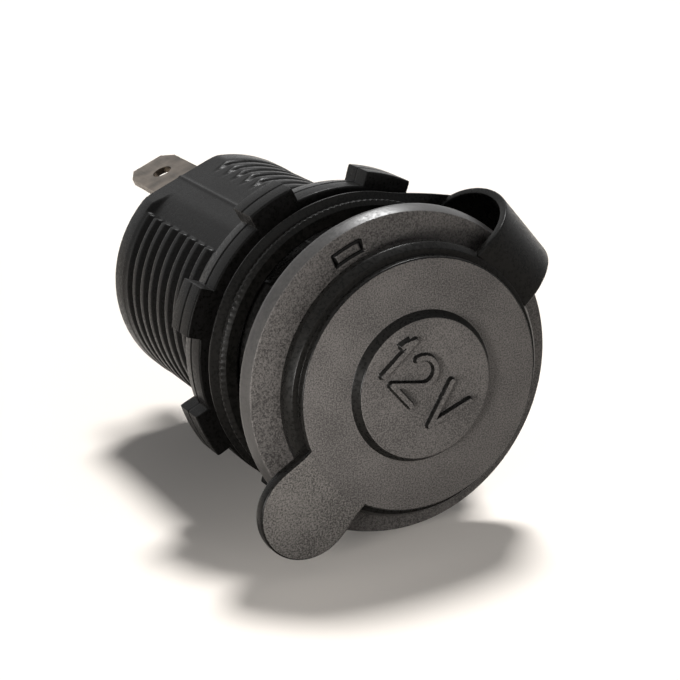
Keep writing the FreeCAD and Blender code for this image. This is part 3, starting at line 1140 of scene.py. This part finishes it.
    def finish(self, piece: bpy.types.Object, beyond: MouldedFinish) -> None:
        """Grain the faces that look forward and give walls the smooth rubber, darker there as painted shade.

        Args:
            piece: the disc or the tab.
            beyond: the finish of what looks forward beyond the disc's edge.
        """
        finishes = [GRAINED_RUBBER, SMOOTH_RUBBER_AND_SHADE]
        if beyond not in finishes:
            finishes.append(beyond)
        middle = face_values(piece, "center")
        outside = np.hypot(middle[:, 0], middle[:, 2]) > self.edge_radius * MM
        forward = np.where(outside, finishes.index(beyond), finishes.index(GRAINED_RUBBER))
        # Walls, such as those of the boss, the letters and the tab's edge, take the smooth rubber; its
        # darker colour there is painted shade.
        wall = face_values(piece, "normal")[:, 1] > -self.shaded_wall_lean
        dress_faces(piece, finishes, np.where(wall, finishes.index(SMOOTH_RUBBER_AND_SHADE), forward))

    def build_tab(self) -> bpy.types.Object:
        """Make the pull tab: a rounded edge carried round the tongue's outline.

        Each outline point is a spine point plus a half width times a direction: sideways along the
        neck, then radial round the end. The section runs from the spine over the edge and back under.
        The root sinks into the disc and comes out of it just inside the disc's edge.

        Returns:
            The piece.
        """
        spine_start = self.boss_radius + self.tab_root_gap
        lengths = np.linspace(spine_start, self.tab_end_distance, self.tab_neck_rows)
        swing = np.radians(np.linspace(0.0, 180.0, self.tab_end_rows)[1:-1])
        widen = smooth(lengths, self.tab_widen_share * self.tab_end_distance, self.tab_end_distance)
        half = self.tab_neck_half + (self.tab_end_radius - self.tab_neck_half) * widen
        spine = np.concatenate([lengths, np.full(len(swing), self.tab_end_distance), lengths[::-1]])
        reach = np.concatenate([half, np.full(len(swing), self.tab_end_radius), half[::-1]])
        side = np.concatenate([np.ones(len(lengths)), np.cos(swing), -np.ones(len(lengths))])
        out = np.concatenate([np.zeros(len(lengths)), np.sin(swing), np.zeros(len(lengths))])
        top = self.face - self.tab_proud
        bottom = self.face + self.tab_thickness
        edge = rounded(
            [
                (self.tab_margin, top, 0.0),
                (0.0, top, self.tab_edge),
                (0.0, bottom, self.tab_edge),
                (self.tab_margin, bottom, 0.0),
            ],
            closed=False,
        )
        inset, y = edge[:, :1], edge[:, 1:]
        width = reach[None, :] - inset
        across, along = width * side, spine + width * out
        body = np.stack([across, np.broadcast_to(y, across.shape), -along], axis=-1)
        ends = [
            np.stack([np.zeros_like(spine), np.full_like(spine, level), -spine], axis=-1)[None]
            for level in (top, bottom)
        ]
        level_grid = np.concatenate([ends[0], body, ends[1]])
        from_axis = np.hypot(level_grid[..., 0], level_grid[..., 2])
        risen = smooth(from_axis, self.edge_radius - self.tab_rise, self.edge_radius)
        level_grid[..., 1] += self.tab_sink * (1.0 - risen)
        turn = math.radians(self.angle)
        turned = np.stack(
            [
                level_grid[..., 0] * math.cos(turn) + level_grid[..., 2] * math.sin(turn),
                level_grid[..., 1],
                level_grid[..., 2] * math.cos(turn) - level_grid[..., 0] * math.sin(turn),
            ],
            axis=-1,
        )
        piece = surface("pull_tab", turned)
        join_doubles(piece, self.tab_weld)
        self.finish(piece, COARSE_RUBBER)
        return piece

    def build(self) -> list[bpy.types.Object]:
        """Make the disc and the tab; both ride on the cap and stand for it.

        Returns:
            The two pieces.
        """
        pieces = [self.build_disc(), self.build_tab()]
        for piece in pieces:
            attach(piece, Body.CAP.value)
            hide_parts("cap")
        return pieces


@dataclass
class Strap:
    """Rubber strap that bends round the flange from the cap's skirt to the retaining ring."""

    angle: float = 49.2
    root_lean: float = -2.6
    half_width: float = 4.2
    root_half_width: float = 4.4
    flare: float = 5.0
    lean_length: float = 10.0
    thickness: float = 0.9
    edge: float = 0.2
    apex: float = 2.8
    reach: float = 21.1
    front_bend: float = 6.2
    front_rise: float = 7.4
    rear_bend: float = 4.0
    rear_rise: float = 5.93
    landing: float = 90.0
    root: float = 13.9
    root_points: int = 6
    front_points: int = 28
    rear_points: int = 26
    section_margin: float = 1.0
    section_steps: int = 5
    held_share: float = 0.7
    swung_share: float = 0.85

    def path(self) -> tuple[np.ndarray, np.ndarray]:
        """Trace the strap's middle line: a short run, then two quarter ovals that meet at the apex.

        Returns:
            Radius and place along the axis of each point, and the unit direction there.
        """
        knee = self.reach - self.front_bend
        out = np.linspace(self.root, knee, self.root_points)[:-1]
        turn = np.radians(np.linspace(90.0, 0.0, self.front_points))
        front_radius = knee + self.front_bend * np.cos(turn)
        front = np.stack([front_radius, self.apex - self.front_rise * np.sin(turn)], axis=1)
        turn = np.radians(np.linspace(0.0, self.landing, self.rear_points))[1:]
        rear_radius = self.reach - self.rear_bend + self.rear_bend * np.cos(turn)
        rear = np.stack([rear_radius, self.apex + self.rear_rise * np.sin(turn)], axis=1)
        level = np.full_like(out, self.apex - self.front_rise)
        points = np.concatenate([np.stack([out, level], axis=1), front, rear])
        heading = np.gradient(points, axis=0)
        return points, heading / np.linalg.norm(heading, axis=1, keepdims=True)

    def build(self) -> bpy.types.Object:
        """Carry a rounded oblong along the middle line and make the strap.

        Towards its root the strap widens and leans aside, both along the cubic of smooth.

        Returns:
            The piece.
        """
        points, heading = self.path()
        normal = np.stack([heading[:, 1], -heading[:, 0]], axis=1)
        half = self.thickness / 2.0
        section = rounded(
            [
                (-self.section_margin, -half, 0.0),
                (0.0, -half, self.edge),
                (0.0, half, self.edge),
                (-self.section_margin, half, 0.0),
            ],
            steps=self.section_steps,
            closed=False,
        )
        section = np.concatenate([section, section[::-1]])
        side = np.repeat([1.0, -1.0], len(section) // 2)
        along = np.concatenate([[0.0], np.cumsum(np.linalg.norm(np.diff(points, axis=0), axis=1))])
        flared = 1.0 - smooth(along, 0.0, self.flare)
        width = self.half_width + (self.root_half_width - self.half_width) * flared
        across = side * (width[:, None] + section[None, :, 0])
        radius = points[:, :1] + normal[:, :1] * section[None, :, 1]
        y = points[:, 1:] + normal[:, 1:] * section[None, :, 1]
        lean = self.root_lean * (1.0 - smooth(along, 0.0, self.lean_length))
        turn = np.radians(self.angle + lean)[:, None]
        grid = np.stack(
            [
                radius * np.sin(turn) + across * np.cos(turn),
                y,
                radius * np.cos(turn) - across * np.sin(turn),
            ],
            axis=-1,
        )
        piece = surface("strap_band", grid, poles=(grid[0].mean(axis=0), grid[-1].mean(axis=0)))
        dress(piece, SMOOTH_RUBBER_AND_SHADE.material())
        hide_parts("cap_strap")
        crest = math.radians(self.angle)
        spot = self.reach * math.sin(crest), self.reach * math.cos(crest)
        start = spot[0] * MM, (self.apex + self.held_share * self.rear_rise) * MM, spot[1] * MM
        end = spot[0] * MM, (self.apex - self.swung_share * self.front_rise) * MM, spot[1] * MM
        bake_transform(piece, Body.SOCKET.value, Body.CAP.value, start, end)
        return piece


@dataclass
class KeeperRing:
    """Retaining ring round the barrel: a finely ribbed bead, a groove and a lip with an ear."""

    front: float = 7.0
    rear: float = 9.2
    bore: float = 14.6
    bevel: float = 0.3
    corner: float = 0.1
    front_radius: float = 16.5
    front_bevel: float = 0.4
    bead_proud: float = 0.15
    bead_start: float = 0.3
    bead_end: float = 0.75
    groove_depth: float = 0.5
    groove_start: float = 1.05
    groove_end: float = 1.45
    groove_corner: float = 0.15
    rear_radius: float = 17.2
    lip_width: float = 0.35
    lip_drop: float = 0.1
    lip_bevel: float = 0.3
    lip_corner: float = 0.08
    ribs: int = 150
    points_per_rib: int = 6
    rib_height: float = 0.07
    rib_below: float = 0.2
    rib_above: float = 0.1
    rib_fade: float = 0.9
    rib_end: float = 1.2
    ear_angle: float = 49.0
    ear_spread: float = 36.0
    ear_rise: float = 4.5
    ear_limit: float = 2.8
    ear_power: float = 1.7
    ear_front: float = 8.2
    ear_fade: float = 0.3

    def section(self) -> np.ndarray:
        """Trace the ring's closed section.

        Returns:
            Radius and place along the axis of each point.
        """
        bead, groove = self.front_radius + self.bead_proud, self.front_radius - self.groove_depth
        return rounded(
            [
                (self.front_radius - self.front_bevel, self.front, self.corner),
                (bead, self.front + self.bead_start, self.corner),
                (bead, self.front + self.bead_end, self.corner),
                (groove, self.front + self.groove_start, self.groove_corner),
                (groove, self.front + self.groove_end, self.groove_corner),
                (self.rear_radius, self.rear - self.lip_width, self.lip_corner),
                (self.rear_radius, self.rear - self.lip_drop, self.lip_corner),
                (self.rear_radius - self.lip_bevel, self.rear, self.lip_corner),
                (self.bore + self.bevel, self.rear, self.corner),
                (self.bore, self.rear - self.bevel, self.corner),
                (self.bore, self.front + self.bevel, self.corner),
                (self.bore + self.bevel, self.front, self.corner),
            ]
        )

    def ear(self, degrees: np.ndarray) -> np.ndarray:
        """How far the ring's lip widens towards the strap: a power of the angle still to go.

        Args:
            degrees: angles about the axis.

        Returns:
            A height for each angle.
        """
        share = np.clip(1.0 - np.abs(wrapped(degrees - self.ear_angle)) / self.ear_spread, 0.0, 1.0)
        return np.minimum(self.ear_rise * share**self.ear_power, self.ear_limit)

    def build(self) -> bpy.types.Object:
        """Turn the ring's section round the axis, with a cosine ripple on its bead.

        Returns:
            The piece.
        """
        section = self.section()
        across, y = section[:, :1], section[:, 1:]
        degrees = np.linspace(0.0, 360.0, self.ribs * self.points_per_rib, endpoint=False)[None, :]
        band = smooth(across, self.front_radius - self.rib_below, self.front_radius + self.rib_above)
        band = band * (1.0 - smooth(y, self.front + self.rib_fade, self.front + self.rib_end))
        ripple = self.rib_height / 2.0 * (np.cos(np.radians(degrees) * self.ribs) - 1.0)
        at_ear = smooth(across, self.front_radius - self.groove_depth, self.rear_radius)
        at_ear = at_ear * smooth(y, self.ear_front, self.ear_front + self.ear_fade)
        radius = across + band * ripple + at_ear * self.ear(degrees)
        piece = surface("keeper_ring", about_axis(radius, y, degrees), close_rows=True)
        dress(piece, SMOOTH_RUBBER_AND_SHADE.material())
        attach(piece, Body.SOCKET.value)
        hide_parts("retaining_ring")
        return piece


@dataclass
class Contacts:
    """Metal contacts, rivets and terminals and the plate that carries them, as the CAD has them."""

    metal: tuple[str, ...] = (
        "contact_shell",
        "centre_contact",
        "centre_rivet",
        "centre_terminal",
        "shell_terminal",
        "shell_rivet",
    )
    board: tuple[str, ...] = ("rear_plate",)

    def build(self) -> list[bpy.types.Object]:
        """Dress the CAD nodes in plated brass and phenolic board.

        Returns:
            The nodes.
        """
        plate, board = NICKEL_PLATE.material(), PHENOLIC_BOARD.material()
        for names, finish, slot in ((self.metal, plate, Slot.BRASS), (self.board, board, Slot.BOARD)):
            for name in names:
                dress(frame["nodes"][name], finish)
        return [frame["nodes"][name] for name in self.metal + self.board]


@dataclass(frozen=True)
class Sun:
    """One wide, soft lamp far away.

    Its azimuth is in degrees from -Y towards +X and its elevation in degrees above the horizon. The
    strength is the light that falls on a surface facing it, and the spread is its width in degrees,
    which softens the shadow.
    """

    name: str
    azimuth: float
    elevation: float
    strength: float
    spread: float

    def build(self) -> None:
        """Hang the lamp and point it at the object."""
        data = bpy.data.lights.new(self.name, "SUN")
        data.energy = self.strength
        data.angle = math.radians(self.spread)
        lamp = bpy.data.objects.new(self.name, data)
        turn, lift = math.radians(self.azimuth), math.radians(self.elevation)
        level = math.cos(lift)
        towards = Vector((math.sin(turn) * level, -math.cos(turn) * level, math.sin(lift)))
        lamp.rotation_euler = (-towards).to_track_quat("-Z", "Y").to_euler()
        bpy.context.scene.collection.objects.link(lamp)


@dataclass
class Studio:
    """Camera, pale floor, white surround and soft lamps."""

    camera_place: tuple[float, float, float] = (-94.421, -168.861, 67.024)
    azimuth: float = 27.563
    elevation: float = 18.263
    lens: float = 102.695
    nearest: float = 5.0
    furthest: float = 20000.0
    floor_drop: float = 0.05
    floor_size: float = 6000.0
    floor_colour: str = "#faf3eb"
    floor_lift: float = 0.04
    surround: float = 0.16
    panel_place: tuple[float, float, float] = (-70.0, -44.0, 1.0)
    panel_size: float = 26.0
    panel_power: float = 0.0075
    panel_beam: float = 42.0
    panel_tint: str = "#fffdfa"
    suns: tuple[Sun, ...] = (
        Sun("overhead", azimuth=143.0, elevation=64.0, strength=3.5, spread=14.0),
        Sun("front", azimuth=6.0, elevation=11.0, strength=0.35, spread=25.0),
    )

    def build_camera(self) -> None:
        """Place the camera by its azimuth and elevation, with no roll, and make it the scene's own."""
        azimuth, elevation = math.radians(self.azimuth), math.radians(self.elevation)
        forward = Vector(
            (
                math.sin(azimuth) * math.cos(elevation),
                math.cos(azimuth) * math.cos(elevation),
                -math.sin(elevation),
            )
        )
        data = bpy.data.cameras.new("camera")
        data.lens = self.lens
        data.clip_start, data.clip_end = self.nearest * MM, self.furthest * MM
        camera = bpy.data.objects.new("camera", data)
        camera.location = Vector(self.camera_place) * MM
        camera.rotation_euler = forward.to_track_quat("-Z", "Y").to_euler()
        bpy.context.scene.collection.objects.link(camera)
        bpy.context.scene.camera = camera

    def build_floor(self) -> None:
        """Lay a pale floor just under the object; it shows lighter to the camera than it lights."""
        low = CAD_BOX[0][2] - self.floor_drop * MM
        half = self.floor_size / 2.0 * MM
        corners = [(-half, -half, low), (half, -half, low), (half, half, low), (-half, half, low)]
        mesh = bpy.data.meshes.new("floor")
        mesh.from_pydata(corners, [], [(0, 1, 2, 3)])
        floor = bpy.data.objects.new("floor", mesh)
        bpy.context.scene.collection.objects.link(floor)
        made = bpy.data.materials.new("pale_floor")
        made.use_nodes = True
        tree = made.node_tree
        tree.nodes.clear()
        light = add_node(tree, "ShaderNodeLightPath")
        glow = add_node(
            tree,
            "ShaderNodeMath",
            {0: light.outputs["Is Camera Ray"], 1: self.floor_lift},
            operation="MULTIPLY",
        )
        matt = add_node(tree, "ShaderNodeBsdfDiffuse", {"Color": linear(self.floor_colour)})
        lift = add_node(tree, "ShaderNodeEmission", {"Color": WHITE, "Strength": glow.outputs[0]})
        both = add_node(tree, "ShaderNodeAddShader", {0: matt.outputs[0], 1: lift.outputs[0]})
        add_node(tree, "ShaderNodeOutputMaterial", {"Surface": both.outputs[0]})
        mesh.materials.append(made)

    def build_surround(self) -> None:
        """White to the camera and in reflections, and a gentle fill for everything else."""
        world = bpy.data.worlds.new("surround")
        bpy.context.scene.world = world
        world.use_nodes = True
        tree = world.node_tree
        tree.nodes.clear()
        light = add_node(tree, "ShaderNodeLightPath")
        seen = add_node(
            tree,
            "ShaderNodeMath",
            {0: light.outputs["Is Camera Ray"], 1: light.outputs["Is Transmission Ray"]},
            operation="MAXIMUM",
        )
        shown = add_node(
            tree,
            "ShaderNodeMath",
            {0: seen.outputs[0], 1: light.outputs["Is Glossy Ray"]},
            operation="MAXIMUM",
        )
        strength = add_node(
            tree,
            "ShaderNodeMapRange",
            {"Value": shown.outputs[0], "To Min": self.surround, "To Max": 1.0},
        )
        sky = add_node(tree, "ShaderNodeBackground", {"Color": WHITE, "Strength": strength.outputs[0]})
        add_node(tree, "ShaderNodeOutputWorld", {"Surface": sky.outputs[0]})

    def add_panel(self) -> None:
        """Stand a small soft lamp close by at the front left, so that its light fades across the face."""
        data = bpy.data.lights.new("front_panel", "AREA")
        data.energy = self.panel_power
        data.size = self.panel_size * MM
        data.spread = math.radians(self.panel_beam)
        data.color = linear(self.panel_tint)[:3]
        lamp = bpy.data.objects.new("front_panel", data)
        lamp.location = Vector(self.panel_place) * MM
        lamp.rotation_euler = (-lamp.location).to_track_quat("-Z", "Y").to_euler()
        lamp.visible_camera = False
        bpy.context.scene.collection.objects.link(lamp)

    def build(self) -> None:
        """Set the view transform and build everything round the object."""
        bpy.context.scene.view_settings.view_transform = "Standard"
        self.build_camera()
        self.build_floor()
        self.build_surround()
        for sun in self.suns:
            sun.build()
        self.add_panel()


def triangles(piece: bpy.types.Object) -> int:
    """Triangles in a piece's mesh."""
    piece.data.calc_loop_triangles()
    return len(piece.data.loop_triangles)


def main() -> None:
    """Build every sub-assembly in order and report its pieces."""
    logging.basicConfig(level=logging.INFO, format="%(name)s %(message)s")
    made = [Housing().build(), RingNut().build(), *Cap().build(), Strap().build(), KeeperRing().build()]
    made += Contacts().build()
    Studio().build()
    for piece in made:
        LOG.info("%s has %d triangles on %s", piece.name, triangles(piece), body_of(piece))
    bpy.context.view_layer.update()


if __name__ == "__main__":
    main()
